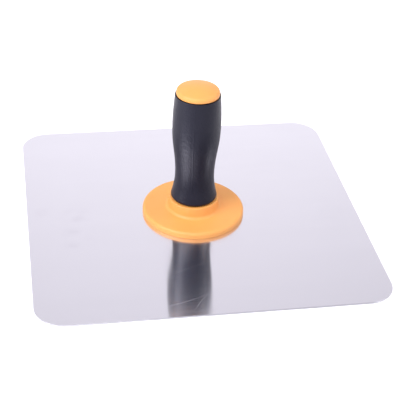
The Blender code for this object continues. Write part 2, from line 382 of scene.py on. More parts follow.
def mesh_from(name, points, faces, sharp_deg=35):
    """A closed, outward-facing mesh, shaded smooth except where it bends by more than sharp_deg."""
    mesh = bpy.data.meshes.new(name)
    mesh.from_pydata(points.reshape(-1, 3).tolist(), [], faces.tolist())
    work = bmesh.new()
    work.from_mesh(mesh)
    bmesh.ops.remove_doubles(work, verts=work.verts, dist=MERGE_GAP)
    bmesh.ops.dissolve_degenerate(work, edges=work.edges, dist=SLIVER)
    bmesh.ops.recalc_face_normals(work, faces=work.faces)
    open_edges = sum(not edge.is_manifold for edge in work.edges)
    work.to_mesh(mesh)
    work.free()
    mesh.shade_smooth()
    mesh.set_sharp_from_angle(angle=math.radians(sharp_deg))
    print(f"{name}: {len(mesh.polygons)} faces, {open_edges} open edges")
    return mesh


def show(name, mesh, body, slot, finish, *replaced):
    """Puts a mesh in the scene as a piece that rides on a body."""
    piece = bpy.data.objects.new(name, mesh)
    scene.collection.objects.link(piece)
    mesh.materials.append(finish)
    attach(piece, body)
    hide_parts(*replaced)
    return piece


print("a ring of 3 rows and 8 columns has", len(grid_faces(3, 8)), "cells")

# %% [markdown]
# ## Profiles
# A turned piece is drawn as half of its section: a line of (radius, height) points from the axis
# and back. A Bevel modifier could round its corners afterwards, but each corner of a moulding has
# its own radius, so the rounding is part of the drawing.

# %% Profile helpers
def rounded(corners, steps=6):
    """A cornered outline with its corners rounded.

    corners are (radius, height, rounding). A rounding r cuts both sides r / tan(half the corner's
    angle) from the corner, and an arc of radius r joins the cuts. Its centre lies on the line that
    halves the corner, r / sin(half the angle) away. A point of the arc is the sum of the centre's
    arms to the two cuts, weighed by the sines of what is left and what is done of the sweep, over
    the sine of the whole sweep.
    """
    parts = []
    t = np.linspace(0, 1, steps + 1)[:, None]
    for k, (r, z, rounding) in enumerate(corners):
        here = np.array((r, z))
        if rounding == 0 or k in (0, len(corners) - 1):
            parts.append(here[None])
            continue
        back = np.array(corners[k - 1][:2]) - here
        on = np.array(corners[k + 1][:2]) - here
        back, on = back / np.linalg.norm(back), on / np.linalg.norm(on)
        angle = math.acos(np.clip(back @ on, -1, 1))
        middle = (back + on) / np.linalg.norm(back + on)
        centre = here + middle * rounding / math.sin(angle / 2)
        start = here + back * rounding / math.tan(angle / 2) - centre
        end = here + on * rounding / math.tan(angle / 2) - centre
        sweep = math.pi - angle
        arm = start * np.sin((1 - t) * sweep) + end * np.sin(t * sweep)
        parts.append(centre + arm / math.sin(sweep))
    return np.concatenate(parts)


def even_angles(columns):
    """Angles that share a full turn out evenly."""
    return np.linspace(0, math.tau, columns, endpoint=False)


def round_axis(r, angle, z):
    """Points at radius r, angle and height z: x = r cos angle, y = r sin angle."""
    return np.stack([r * np.cos(angle), r * np.sin(angle), z + 0 * angle], axis=-1)


def turned(profile, angles):
    """Carries a (radius, height) profile round the axis, one column for each angle."""
    return round_axis(profile[:, :1], angles, profile[:, 1:])


corner_test = rounded([(0, 0, 0), (1, 0, 0.2), (1, 1, 0)])
print("an outline with one rounded corner has", len(corner_test), "points")

# %% [markdown]
# ## Small effects shared by the finishes
# The same slow unevenness shows on every moulding, and the same marks of handling on every metal.
# Copying their nodes into each material would work, but a node group is built once and placed
# wherever it is wanted with its own numbers. The groups give out plain masks and heights. They
# read each point's place on its own piece, so a pattern stays put as the handle is unscrewed.

# %% Skin of a moulding: a fine pebble and a slow unevenness
def group(name, inputs, output_names):
    """An empty node group with named number sockets, and what is needed to fill it."""
    tree = bpy.data.node_groups.new(name, "ShaderNodeTree")
    for label, number in inputs.items():
        socket = tree.interface.new_socket(label, in_out="INPUT", socket_type="NodeSocketFloat")
        socket.default_value = number
    for label in output_names:
        tree.interface.new_socket(label, in_out="OUTPUT", socket_type="NodeSocketFloat")
    make = Nodes(tree)
    print("group", name, "gives", ", ".join(output_names))
    return tree, make, make.add("NodeGroupInput").outputs, make.add("NodeGroupOutput").inputs


MOST_OF_NOISE = (0.3, 0.7)  # nearly all of a noise's values lie between these
HALF_OF_NOISE = (0.35, 0.65)
BLOTCHES_PER_METRE = 35.0
moulded_skin, make, given, result = group("moulded_skin", {"Pebble Scale": 2500.0}, ["Height", "Blotch"])
make.join(make.noise(make.place(), given["Pebble Scale"]), result["Height"])
slow = make.noise(make.place(), BLOTCHES_PER_METRE, detail=3.0)
make.join(make.span(slow, *HALF_OF_NOISE), result["Blotch"])

# %% [markdown]
# ### Handling marks
# A hand or a cloth leaves a surface less even in patches. A brushed-on mask would be truer to one
# tool, but a noise that only shows above its middle leaves patches with clean surface between them.

# %% Handling marks
HANDLED = (0.5, 0.72)       # the part of the noise that shows as handled
handling, make, given, result = group("handling_marks", {"Smear Scale": 14.0}, ["Smear"])
smear = make.noise(make.place(), given["Smear Scale"], detail=4.0, rough=0.6)
make.join(make.span(smear, *HANDLED), result["Smear"])

# %% [markdown]
# ### Marks on a level face
# Years of mortar leave a plate with hair-thin arcs where grit was dragged across it, and with dull
# patches where something dried on. A painted mask could show them, but two short sums place each
# one in millimetres: a scratch is how near a point is to a circle, and a smudge is how near it is
# to a spot. Both groups share a distance and a straight fade.

# %% Scratch: a thin arc, strongest at its middle
def gap_from(make, x, y):
    """Distance across a level face from (x, y): the root of the sum of both offsets squared."""
    here = make.add("ShaderNodeSeparateXYZ")
    make.join(make.place(), here.inputs[0])
    across = make.math("SUBTRACT", here.outputs["X"], x)
    along = make.math("SUBTRACT", here.outputs["Y"], y)
    across_squared = make.math("MULTIPLY", across, across)
    along_squared = make.math("MULTIPLY", along, along)
    return make.math("SQRT", make.math("ADD", across_squared, along_squared))


def fading(make, gap, reach):
    """One where the gap is nothing, falling straight to nothing where it equals the reach."""
    return make.math("SUBTRACT", 1.0, make.math("DIVIDE", gap, reach), clamp=True)


SCRATCH = ("Centre X", "Centre Y", "Radius", "Middle X", "Middle Y", "Reach", "Width")
scratch, make, given, result = group("arc_scratch", dict.fromkeys(SCRATCH, 0.0), ["Mask"])
to_centre = gap_from(make, given["Centre X"], given["Centre Y"])
off_line = make.math("ABSOLUTE", make.math("SUBTRACT", to_centre, given["Radius"]))
line = fading(make, off_line, given["Width"])
to_middle = gap_from(make, given["Middle X"], given["Middle Y"])
strength = make.math("SQRT", fading(make, to_middle, given["Reach"]))
make.join(make.math("MULTIPLY", line, strength), result["Mask"])

# %% Smudge: a round patch that fades outwards and is broken up
FLECKS_PER_METRE = 110.0
FLECKED = (0.40, 0.66)      # the part of the noise that the patch shows in
SMUDGE = ("Centre X", "Centre Y", "Reach", "Strength")
smudge, make, given, result = group("smudge", dict.fromkeys(SMUDGE, 0.0), ["Mask"])
near = fading(make, gap_from(make, given["Centre X"], given["Centre Y"]), given["Reach"])
flecks = make.noise(make.place(), FLECKS_PER_METRE, detail=3.0, rough=0.6)
patch = make.math("MULTIPLY", near, make.span(flecks, *FLECKED))
make.join(make.math("MULTIPLY", patch, given["Strength"]), result["Mask"])

# %% [markdown]
# ## The polished plate
# The real plate is rolled aluminium sheet, cut square, with its corners rounded and its edge
# broken with a file. It has a hole for each rivet, countersunk on the working face. One flat
# polygon with holes would be the simplest mesh, but a polygon that wide shades badly, and a mirror
# shows it. So each quarter of the sheet is a fan of rays from its rivet's centre to its own edge:
# every ray crosses the upper face, goes down the hole's wall and comes back along the working face.

# %% The outline of a quarter
PLATE_CORNER = 25.0 * MM
EDGE_ROUND = 0.35 * MM
AXIS_CROWDING = 1.5         # crowds the points of a straight inner side towards the middle


def quarter_outline(half, corner, axis_steps=24, corner_steps=20, bore=0.0):
    """The outline of the sheet's first quarter, point by point.

    It runs out along X, up the side, round the corner's arc, back to Y and in again. A share t of
    the way out along an axis is t to the power of the crowding. The corner's arc is its centre
    plus its radius times (cos a, sin a). A bore cuts off the inner corner with an arc of its own.
    """
    run = bore + (half - bore) * np.linspace(0, 1, axis_steps) ** AXIS_CROWDING
    straight = np.linspace(0, half - corner, axis_steps)[1:]
    a = np.linspace(0, math.pi / 2, corner_steps)
    arc = half - corner + corner * np.stack([np.cos(a), np.sin(a)], 1)
    lead = np.stack([run, 0 * run], 1)
    parts = [lead]
    if half > corner:
        parts.append(np.stack([0 * straight + half, straight], 1))
    parts.append(arc[1:])
    if half > corner:
        parts.append(np.stack([straight[::-1], 0 * straight + half], 1)[1:])
        parts.append(np.array([[0.0, half]]))
    parts.append(lead[::-1, ::-1][1:])
    if bore:
        b = np.linspace(math.pi / 2, 0, corner_steps)[1:-1]
        parts.append(bore * np.stack([np.cos(b), np.sin(b)], 1))
    return np.concatenate(parts)


plate_low, plate_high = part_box("hawk_plate")
inset = plate_high.x - EDGE_ROUND
outline = quarter_outline(inset, PLATE_CORNER - EDGE_ROUND)
print("a quarter's outline has", len(outline), "points")

# %% A quarter pierced by its rivet's hole
HOLE_RADIUS = 2.1 * MM
COUNTERSINK_RADIUS = 3.3 * MM
COUNTERSINK_DEPTH = 0.9 * MM
FACE_REACH = 0.998          # how far out the last ring but one lies, before the crowding
FACE_CROWDING = 1.6         # crowds the rings towards the hole


def pierced_quarter(outline, centre, walls, top, bottom, rings=5):
    """A quarter sheet pierced by one hole, as rings of rays from the hole's centre.

    A point on a face is the hole's rim plus a share of the way to the outline. A point on the
    hole's wall is the centre plus the wall's radius along the ray.
    """
    ray = outline - centre
    ray = ray / np.linalg.norm(ray, axis=1, keepdims=True)
    share = np.append(1.0, np.linspace(FACE_REACH, 0, rings) ** FACE_CROWDING)[:, None, None]

    def face(radius, height):
        rim = centre + radius * ray
        flat = rim + share * (outline - rim)
        return np.concatenate([flat, np.full((*flat.shape[:2], 1), height)], axis=2)

    wall = [np.column_stack([centre + r * ray, np.full(len(ray), z)])[None] for r, z in walls]
    upper = face(walls[0][0], top)
    lower = face(walls[-1][0], bottom)[::-1]
    return np.concatenate([upper, *wall, lower])


rivet_low, rivet_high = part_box("rivet_1")
rivet_place = np.array([(rivet_low.x + rivet_high.x) / 2, (rivet_low.y + rivet_high.y) / 2])
top, bottom = plate_high.z, plate_low.z
hole = [(HOLE_RADIUS, top), (HOLE_RADIUS, COUNTERSINK_DEPTH), (COUNTERSINK_RADIUS, bottom)]
quarter = pierced_quarter(outline, rivet_place, hole, top, bottom)
print("rivet stands at", (rivet_place / MM).round(1), "mm in a grid of", quarter.shape[:2])

# %% Four quarters make the sheet
def four_quarters(quarter, first=0, closed=True):
    """Four copies of a quarter's grid, each a quarter turn on from the last, with their faces.

    A turn by an angle takes (x, y) to (x cos - y sin, x sin + y cos).
    """
    rows, columns = quarter.shape[:2]
    points, faces = [], []
    for k in range(4):
        c, s = math.cos(k * math.pi / 2), math.sin(k * math.pi / 2)
        points.append((quarter @ np.array([[c, s, 0], [-s, c, 0], [0, 0, 1]])).reshape(-1, 3))
        faces.append(grid_faces(rows, columns, wrap_columns=closed, first=first + k * rows * columns))
    return np.concatenate(points), np.concatenate(faces)


sheet_points, sheet_faces = four_quarters(quarter)
print("the sheet without its edge has", len(sheet_faces), "faces")

# %% The filed edge closes it
SAME_PLACE = 1e-9           # two measures closer than this, in metres, are the same


def outer_run(outline, half, corner):
    """The part of a quarter's outline on the sheet's edge, and its outward normals.

    The corner's arc has its centre at (half - corner) both ways. A point is on the edge where it
    lies a corner's radius past that centre, and its normal is how far it lies past it each way,
    made one unit long. On a straight side only one of the two is left.
    """
    past = np.maximum(outline - (half - corner), 0)
    reach = np.linalg.norm(past, axis=1)
    on_edge = np.abs(reach - corner) < SAME_PLACE
    return outline[on_edge], past[on_edge] / reach[on_edge, None]


def rim_band(outline, normal, across, first):
    """A sheet's edge: for each (out, height) of across, the outline moved out along its normal."""
    across = np.asarray(across)[:, None, :]
    flat = outline + across[..., :1] * normal
    height = across[..., 1:] + 0 * flat[..., :1]
    return four_quarters(np.concatenate([flat, height], axis=2), first, closed=False)


swing = np.linspace(0, math.pi / 2, 5)
over = np.column_stack([EDGE_ROUND * np.sin(swing), top - EDGE_ROUND * (1 - np.cos(swing))])
under = np.column_stack([EDGE_ROUND * np.cos(swing), bottom + EDGE_ROUND * (1 - np.sin(swing))])
edge, outward = outer_run(outline, inset, PLATE_CORNER - EDGE_ROUND)
edge_points, edge_faces = rim_band(edge, outward, np.concatenate([over, under]), len(sheet_points))
plate_mesh = mesh_from(
    "polished_plate",
    np.concatenate([sheet_points, edge_points]),
    np.concatenate([sheet_faces, edge_faces]),
)

# %% [markdown]
# ### Its grain and its filed edge
# The haze on rolled sheet lies across the rolling direction, so the shader has to be told where
# that is. A tangent could be taken round an axis, as on a turned part, but this grain is straight:
# a flat map, the same all over the plate, gives one direction for every point. The filed edge gets
# a value of its own, nothing on the faces and one at the outermost line. That value makes the edge
# rougher, and it also darkens the edge's colour: a painted shade line round the plate.

# %% Grain map and edge value
places = np.empty(len(plate_mesh.vertices) * 3)
plate_mesh.vertices.foreach_get("co", places)
flat = places.reshape(-1, 3)[:, :2]
owner = np.empty(len(plate_mesh.loops), dtype=int)
plate_mesh.loops.foreach_get("vertex_index", owner)
grain = plate_mesh.uv_layers.new(name="grain")
grain.data.foreach_set("uv", (flat[owner] / (plate_high.x - plate_low.x) + 0.5).ravel())

# the same value roughens the filed edge and paints a shade line on it
past = np.abs(flat) - (plate_high.x - PLATE_CORNER)
from_heart = np.linalg.norm(np.maximum(past, 0), axis=1) + np.minimum(past.max(1), 0)
filed = np.clip((from_heart - PLATE_CORNER + EDGE_ROUND) / EDGE_ROUND, 0, 1)
plate_mesh.attributes.new("filed", "FLOAT", "POINT").data.foreach_set("value", filed)
print(int((filed > 0).sum()), "points on the filed edge")

# %% [markdown]
# ### Its finish
# Mill-polished sheet is a mirror along the grain and a little hazy across it. One roughness cannot
# say that: a sharp image with a growing haze round it is two surfaces mixed. So the fine streaks of
# the grain carry the roughness up and down, and full anisotropy lays the haze across them. A faint
# blue sheen paints a bluish veil of light over the mirror, which lifts whatever is dark in it.

# %% Calls that every finish makes, and the plate's metal
def use(make, tree, numbers):
    """Places a group in a material with its own numbers and hands back its outputs."""
    node = make.add("ShaderNodeGroup", node_tree=tree)
    fill(node.inputs, numbers)
    return node.outputs


def cover(make, shader, colour, haze, height, depth):
    """Joins what changes over a surface: its colour, its roughness and its fine relief."""
    make.join(colour, shader.inputs["Base Color"])
    make.join(haze, shader.inputs["Roughness"])
    make.join(make.bump(height, depth), shader.inputs["Normal"])


polished, shader, make = material(
    "polished_aluminium",
    Metallic=1.0,
    Anisotropic=1.0,
    Anisotropic_Rotation=0.25,  # a quarter turn: the haze lies across the grain
    # painted light: the blue sheen lays a bluish veil of light over the mirror
    Sheen_Weight=0.08,
    Sheen_Roughness=0.6,
    Sheen_Tint=(0.45, 0.62, 1.0, 1.0),
)
along = make.add("ShaderNodeTangent", direction_type="UV_MAP", uv_map="grain")
make.join(along.outputs[0], shader.inputs["Tangent"])

# %% Plate colour: streaks, a painted shade line on the filed edge, and the smudges
STREAKS = (20.0, 9000.0, 1.0)           # to the metre: long along X, very fine across it
BROAD_STREAKS = (3.0, 60.0, 1.0)
STREAK_SHARE = 0.6
POLISH_DARK = (0.885, 0.875, 0.92, 1.0)
POLISH_LIGHT = (0.905, 0.895, 0.94, 1.0)
# painted shade: the colour that darkens the plate's edge into a shade line
PAINTED_EDGE_SHADE = (0.64, 0.64, 0.68, 1.0)
SMUDGE_COLOUR = (0.76, 0.73, 0.80, 1.0)
SMUDGES_MM = (                          # centre x, y and reach, then strength
    (-112, -47, 11, 0.50),
    (-96, -32, 7, 0.40),
    (-113, -24, 10, 0.35),
    (-106, 2, 18, 0.35),
    (-139, 10, 10, 0.30),
)

streak = make.noise(make.stretch(make.place(), STREAKS), 1.0)
broad = make.noise(make.stretch(make.place(), BROAD_STREAKS), 1.0)
fine_part = make.math("MULTIPLY", streak, STREAK_SHARE)
tone = make.math("ADD", fine_part, make.math("MULTIPLY", broad, 1 - STREAK_SHARE))
filed_and_shaded_edge = make.add("ShaderNodeAttribute", attribute_name="filed").outputs["Fac"]
colour = make.blend(make.span(tone, *HALF_OF_NOISE), POLISH_DARK, POLISH_LIGHT)
# a painted shade line: the filed edge is darkened towards the shade colour
colour = make.blend(filed_and_shaded_edge, colour, PAINTED_EDGE_SHADE)
for *sizes, strength in SMUDGES_MM:
    numbers = dict(zip(SMUDGE, [size * MM for size in sizes] + [strength]))
    colour = make.blend(use(make, smudge, numbers)["Mask"], colour, SMUDGE_COLOUR)
print(len(SMUDGES_MM), "smudges on the plate")

# %% Plate haze: streaks, handling, the filed edge and the scratches
STREAK_SPAN = (0.35, 0.70)
STREAK_HAZE = (0.075, 0.18)
STREAK_DEPTH = 0.0001 * MM
SMEAR_HAZE = 0.02
EDGE_HAZE = 0.3
SCRATCH_HAZE = 0.22
SCRATCHES_MM = (                        # centre x, y and radius, middle x, y, reach and width
    (-101, 95, 238, -25, -131, 26, 0.28),
    (51, -178, 80, -15, -135, 13, 0.20),
    (60, -260, 190, -20, -88, 50, 0.04),
    (190, 300, 330, 20, 12, 90, 0.12),
    (-60, -420, 500, -10, 78, 80, 0.12),
)

haze = make.span(streak, *STREAK_SPAN, *STREAK_HAZE)
smear = use(make, handling, {"Smear Scale": 11.0})["Smear"]
haze = make.math("ADD", haze, make.math("MULTIPLY", smear, SMEAR_HAZE))
haze = make.math("ADD", haze, make.math("MULTIPLY", filed_and_shaded_edge, EDGE_HAZE))
for sizes in SCRATCHES_MM:
    line = use(make, scratch, {label: size * MM for label, size in zip(SCRATCH, sizes)})["Mask"]
    haze = make.math("ADD", haze, make.math("MULTIPLY", line, SCRATCH_HAZE))
cover(make, shader, colour, haze, streak, STREAK_DEPTH)
show("polished_plate", plate_mesh, "plate", "plate", polished, "hawk_plate")
print(len(SCRATCHES_MM), "scratches on the plate")

# %% [markdown]
# ## The mounting disc
# Thin sheet would tear round a single bolt, so a round steel disc spreads the handle's load. It
# hides under the flange until the handle is unscrewed. A turned ring would do but for the rivet
# holes, so it is the plate's pierced quarter again, with a bore in the middle.

# %% Disc
STUD_BORE = 5.3 * MM
DISC_EDGE = 0.3 * MM        # rounding of its edge
EDGE_BEND = 0.7             # how far out the rounding's middle point stands, as a share of it
disc_low, disc_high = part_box("mounting_disc")

disc_inset = disc_high.x - DISC_EDGE
disc_line = quarter_outline(disc_inset, disc_inset, axis_steps=12, corner_steps=24, bore=STUD_BORE)
disc_hole = [(HOLE_RADIUS, disc_high.z), (HOLE_RADIUS, disc_low.z)]
disc_points, disc_faces = four_quarters(
    pierced_quarter(disc_line, rivet_place, disc_hole, disc_high.z, disc_low.z, rings=4)
)
disc_across = [
    (0.0, disc_high.z),
    (DISC_EDGE * EDGE_BEND, disc_high.z - DISC_EDGE * (1 - EDGE_BEND)),
    (DISC_EDGE, disc_high.z - DISC_EDGE),
    (DISC_EDGE, disc_low.z + DISC_EDGE),
    (DISC_EDGE * EDGE_BEND, disc_low.z + DISC_EDGE * (1 - EDGE_BEND)),
    (0.0, disc_low.z),
]
bore_across = [(0.0, disc_high.z), (0.0, disc_low.z)]
radius = np.linalg.norm(disc_line, axis=1)
arc_line = disc_line[np.abs(radius - radius.max()) < SAME_PLACE]
bore_line = disc_line[np.abs(radius - radius.min()) < SAME_PLACE]
used = len(disc_points)
rim_points, rim_faces = rim_band(arc_line, arc_line / radius.max(), disc_across, used)
used += len(rim_points)
bore_points, bore_faces = rim_band(bore_line, -bore_line / radius.min(), bore_across, used)
disc_mesh = mesh_from(
    "mounting_disc_fine",
    np.concatenate([disc_points, rim_points, bore_points]),
    np.concatenate([disc_faces, rim_faces, bore_faces]),
)

# %% [markdown]
# ### Zinc-plated steel
# Plating leaves small grey patches called spangle. A cell pattern could draw them with hard
# borders, but at this size they only read as a soft change of tone, which noise gives.

# %% Steel finish
ZINC_DARK = (0.50, 0.51, 0.53, 1.0)
ZINC_LIGHT = (0.66, 0.67, 0.70, 1.0)
ZINC_HAZE = (0.28, 0.42)
SPANGLES_PER_METRE = 900.0
zinc, shader, make = material("zinc_plated_steel", Metallic=1.0)
spangle = make.noise(make.place(), SPANGLES_PER_METRE)
zinc_tone = make.blend(make.span(spangle, *MOST_OF_NOISE), ZINC_DARK, ZINC_LIGHT)
smear = use(make, handling, {"Smear Scale": 60.0})["Smear"]
cover(make, shader, zinc_tone, make.span(smear, 0.0, 1.0, *ZINC_HAZE), spangle, depth=0.01 * MM)
show("mounting_disc_fine", disc_mesh, "plate", "steel", zinc, "mounting_disc")

# %% [markdown]
# ## The threaded stud
# The handle screws down on this stud until its washer meets the stud's shoulder. A Screw modifier
# could wind a tooth up the shank, but its two ends would have to be closed by hand. Here the
# thread is a height over a cylinder: how far a point stands out depends on its height, less one
# pitch for each turn, so the tooth climbs as it goes round, and it can fade out at both ends.

# %% Stud
THREAD_PITCH = 1.5 * MM
THREAD_CREST = 4.85 * MM
THREAD_DEPTH = 0.85 * MM
THREAD_ROWS = 260
THREAD_COLUMNS = 96
TOOTH_SLOPE = 1.35          # over one, so that the crest is flat
TOOTH_SINK = 0.12           # and the root too
TIP_CHAMFER = 0.2 * MM
STUD_SPIGOT = 5.0 * MM
CLEARANCE = 0.3 * MM        # between pieces that lie on one another
stud_low, stud_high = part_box("threaded_stud")
washer_low, washer_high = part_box("friction_washer")
shoulder_top = washer_low.z - CLEARANCE
shoulder_low = disc_high.z + CLEARANCE

height = np.linspace(stud_high.z, shoulder_top, THREAD_ROWS)[:, None]
angle = even_angles(THREAD_COLUMNS)
phase = ((height - THREAD_PITCH * angle / math.tau) / THREAD_PITCH) % 1.0
tooth = np.clip(TOOTH_SLOPE * (1 - np.abs(2 * phase - 1)) - TOOTH_SINK, 0, 1)
runout = np.clip((height - shoulder_top) / THREAD_PITCH, 0, 1)
chamfer = THREAD_CREST - THREAD_DEPTH - TIP_CHAMFER + (stud_high.z - height)
screw = np.minimum(THREAD_CREST - THREAD_DEPTH * (1 - tooth) * runout, chamfer)
foot = rounded(
    [
        (THREAD_CREST, shoulder_top, 0),
        (stud_high.x, shoulder_top, 0.3 * MM),
        (stud_high.x, shoulder_low, 0.2 * MM),
        (STUD_SPIGOT, shoulder_low, 0),
        (STUD_SPIGOT, stud_low.z, 0),
        (0.0, stud_low.z, 0),
    ],
    steps=3,
)
tip = turned(np.array([[0.0, stud_high.z]]), angle)
stud_points = np.concatenate([tip, round_axis(screw, angle, height), turned(foot, angle)])
stud_faces = grid_faces(*stud_points.shape[:2])
stud_mesh = mesh_from("threaded_stud_fine", stud_points, stud_faces, sharp_deg=50)
show("threaded_stud_fine", stud_mesh, "plate", "steel", zinc, "threaded_stud")

# %% [markdown]
# ## The rivets
# Four rivets hold disc and plate together. Each head is countersunk flush in the working face, and
# its tail is domed over on the disc. Four objects could share one mesh and each be moved, but here
# every piece keeps its place in its own mesh, so one profile is turned and set down four times.

# %% Rivet profile
HEAD_RADIUS = 3.0 * MM
HEAD_ROUND = 0.05 * MM
SHANK_RADIUS = 1.8 * MM
DOME_RADIUS = 3.2 * MM
dome_low = disc_high.z + CLEARANCE

swing = np.linspace(0, math.pi / 2, 9)
dome_rise = (rivet_high.z - dome_low) * np.cos(swing)
rivet_dome = np.column_stack([DOME_RADIUS * np.sin(swing), dome_low + dome_rise])
rivet_shank = np.array(
    [
        (DOME_RADIUS, dome_low),
        (SHANK_RADIUS, dome_low),
        (SHANK_RADIUS, COUNTERSINK_DEPTH),
        (HEAD_RADIUS, rivet_low.z + HEAD_ROUND),
        (HEAD_RADIUS - HEAD_ROUND, rivet_low.z),
        (0.0, rivet_low.z),
    ]
)
rivet_profile = np.concatenate([rivet_dome, rivet_shank])
print("rivet profile of", len(rivet_profile), "points")

# %% [markdown]
# ### Hammered aluminium
# The tail was hammered and never polished, so it is duller than the plate, with small dents. The
# dents could be modelled, but at this size a fine bump gives them, and the same noise that makes a
# dent also sets how dull it is.

# %% Four rivets
RIVET_LIGHT = (0.84, 0.84, 0.87, 1.0)
RIVET_DARK = (0.72, 0.72, 0.75, 1.0)
RIVET_HAZE = (0.2, 0.34)
BLOWS_PER_METRE = 1500.0
rivet_metal, shader, make = material("rivet_aluminium", Metallic=1.0)
smear = use(make, handling, {"Smear Scale": 200.0})["Smear"]
hammered = make.noise(make.place(), BLOWS_PER_METRE, detail=1.0)
rivet_tone = make.blend(smear, RIVET_LIGHT, RIVET_DARK)
rivet_gloss = make.span(hammered, *MOST_OF_NOISE, *RIVET_HAZE)
cover(make, shader, rivet_tone, rivet_gloss, hammered, depth=0.02 * MM)
rivet_round = turned(rivet_profile, even_angles(48))
for k in range(1, 5):
    low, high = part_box(f"rivet_{k}")
    points = rivet_round + ((low.x + high.x) / 2, (low.y + high.y) / 2, 0)
    rivet_mesh = mesh_from(f"rivet_{k}_fine", points, grid_faces(*points.shape[:2]))
    show(f"rivet_{k}_fine", rivet_mesh, "plate", "rivet", rivet_metal, f"rivet_{k}")

# %% [markdown]
# ## The friction washer
# A nylon washer between the stud's shoulder and the insert keeps the handle from working loose. It
# is stamped, so its edges are barely rounded. A cylinder with a hole cut in it would do, but a
# ring's profile, closed on itself, gives the four rounded edges in one go.

# %% Washer
def turned_mesh(name, profile, columns=192, ring=False):
    """A turned mesh. A ring's profile closes from its end to its start."""
    faces = grid_faces(len(profile), columns, wrap_rows=ring)
    return mesh_from(name, turned(profile, even_angles(columns)), faces)


WASHER_BORE = 5.4 * MM
WASHER_ROUND = 0.15 * MM
CLOSING_GAP = 0.01 * MM     # between the ring profile's two ends
washer_middle = (washer_low.z + washer_high.z) / 2
washer_profile = rounded(
    [
        (WASHER_BORE, washer_middle, 0),
        (WASHER_BORE, washer_high.z, WASHER_ROUND),
        (washer_high.x, washer_high.z, WASHER_ROUND),
        (washer_high.x, washer_low.z, WASHER_ROUND),
        (WASHER_BORE, washer_low.z, WASHER_ROUND),
        (WASHER_BORE, washer_middle - CLOSING_GAP, 0),
    ],
    steps=3,
)
washer_mesh = turned_mesh("friction_washer_fine", washer_profile, columns=96, ring=True)

# %% [markdown]
# ### Milky nylon
# Nylon lets light a little way in. A transmission weight would make it clear like glass, so a
# subsurface weight stands for the milkiness, over a slightly uneven off-white.

# %% Nylon finish
NYLON_DARK = (0.80, 0.79, 0.74, 1.0)
NYLON_LIGHT = (0.88, 0.87, 0.83, 1.0)
NYLON_HAZE = (0.42, 0.52)
nylon, shader, make = material(
    "nylon", Subsurface_Weight=0.2, Subsurface_Radius=(0.002, 0.002, 0.0018)
)
skin = use(make, moulded_skin, {"Pebble Scale": 3000.0})
nylon_tone = make.blend(skin["Blotch"], NYLON_DARK, NYLON_LIGHT)
nylon_gloss = make.span(skin["Blotch"], 0.0, 1.0, *NYLON_HAZE)
cover(make, shader, nylon_tone, nylon_gloss, skin["Height"], depth=0.01 * MM)
show("friction_washer_fine", washer_mesh, "washer", "washer", nylon, "friction_washer")

# %% [markdown]
# ## The brass insert
# A hexagonal brass nut is moulded into the core, where its flats keep it from turning. It could be
# drawn anew, but the solid model's bored hexagon already has the right shape, so it stays and only
# gets its metal: warm brass, darker where it was handled, with the rings that a cutting tool leaves.

# %% Insert
BRASS_LIGHT = (0.80, 0.58, 0.26, 1.0)
BRASS_DARK = (0.60, 0.42, 0.18, 1.0)
BRASS_HAZE = (0.24, 0.38)
TOOL_RINGS = (40.0, 40.0, 6000.0)       # to the metre: level, and very fine in height
brass, shader, make = material("brass", Metallic=1.0)
smear = use(make, handling, {"Smear Scale": 80.0})["Smear"]
rings = make.noise(make.stretch(make.place(), TOOL_RINGS), 1.0, detail=1.0)
brass_tone = make.blend(smear, BRASS_LIGHT, BRASS_DARK)
brass_gloss = make.span(rings, *MOST_OF_NOISE, *BRASS_HAZE)
cover(make, shader, brass_tone, brass_gloss, rings, depth=0.01 * MM)
insert = frame["nodes"]["threaded_insert"]
insert.data.materials.clear()
insert.data.materials.append(brass)
print("brass on", insert.name)

# %% [markdown]
# ## The orange core
# Flange, collar and inner tube are one moulding. Its outside is turned. Underneath it is hollow,
# with twelve ribs, because a moulding is cored out to keep its walls even. The pockets could be cut
# out with Boolean modifiers, but one grid makes both: rows follow the profile, columns go round,
# and where a column falls in a pocket the two under-side rows are lifted to the pocket's roof. At
# a rib's face two columns share one angle, one in the pocket and one on the rib, and the step
# between them is the rib's wall.

# %% Core outside
core_low, core_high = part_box("handle_core")
grip_low, grip_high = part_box("soft_grip")
insert_low, insert_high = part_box("threaded_insert")
FLANGE_TOP = plate_high.z + 5.7 * MM
FLANGE_FOOT = plate_high.z + 0.06 * MM
FLANGE_ROUND = 3.0 * MM
COLLAR_TOP = grip_low.z - CLEARANCE
COLLAR_FOOT_RADIUS = 23.2 * MM
COLLAR_TOP_RADIUS = 22.2 * MM
COLLAR_FILLET = 3.4 * MM
TUBE_RADIUS = 14.0 * MM
TUBE_BORE = 11.0 * MM
TUBE_FLOOR = insert_high.z + 4.0 * MM
POCKET_OUTER = 42.0 * MM
RIM_FOOT_RADIUS = POCKET_OUTER + 1.0 * MM

outside = rounded(
    [
        (0.0, TUBE_FLOOR, 0),
        (TUBE_BORE, TUBE_FLOOR, 0.8 * MM),
        (TUBE_BORE, core_high.z, 0.4 * MM),
        (TUBE_RADIUS, core_high.z, 0.4 * MM),
        (TUBE_RADIUS, COLLAR_TOP, 0.3 * MM),
        (COLLAR_TOP_RADIUS, COLLAR_TOP, 0.7 * MM),
        (COLLAR_FOOT_RADIUS, FLANGE_TOP, COLLAR_FILLET),
        (core_high.x, FLANGE_TOP, FLANGE_ROUND),
        (core_high.x, FLANGE_FOOT, 0.15 * MM),
        (RIM_FOOT_RADIUS, FLANGE_FOOT, 0.2 * MM),
        (POCKET_OUTER, core_low.z, 0),
    ],
    steps=10,
)
print(f"flange {2 * core_high.x / MM:.1f} mm across, collar {2 * COLLAR_TOP_RADIUS / MM:.1f} mm")

# %% Core underside
POCKET_INNER = 32.0 * MM
POCKET_ROOF = 4.6 * MM
RECESS_RADIUS = 30.0 * MM
RECESS_ROOF = 5.0 * MM
WELL_RADIUS = 10.0 * MM
NUT_RADIUS = insert_high.x + CLEARANCE
NUT_ROOF = insert_high.z + CLEARANCE

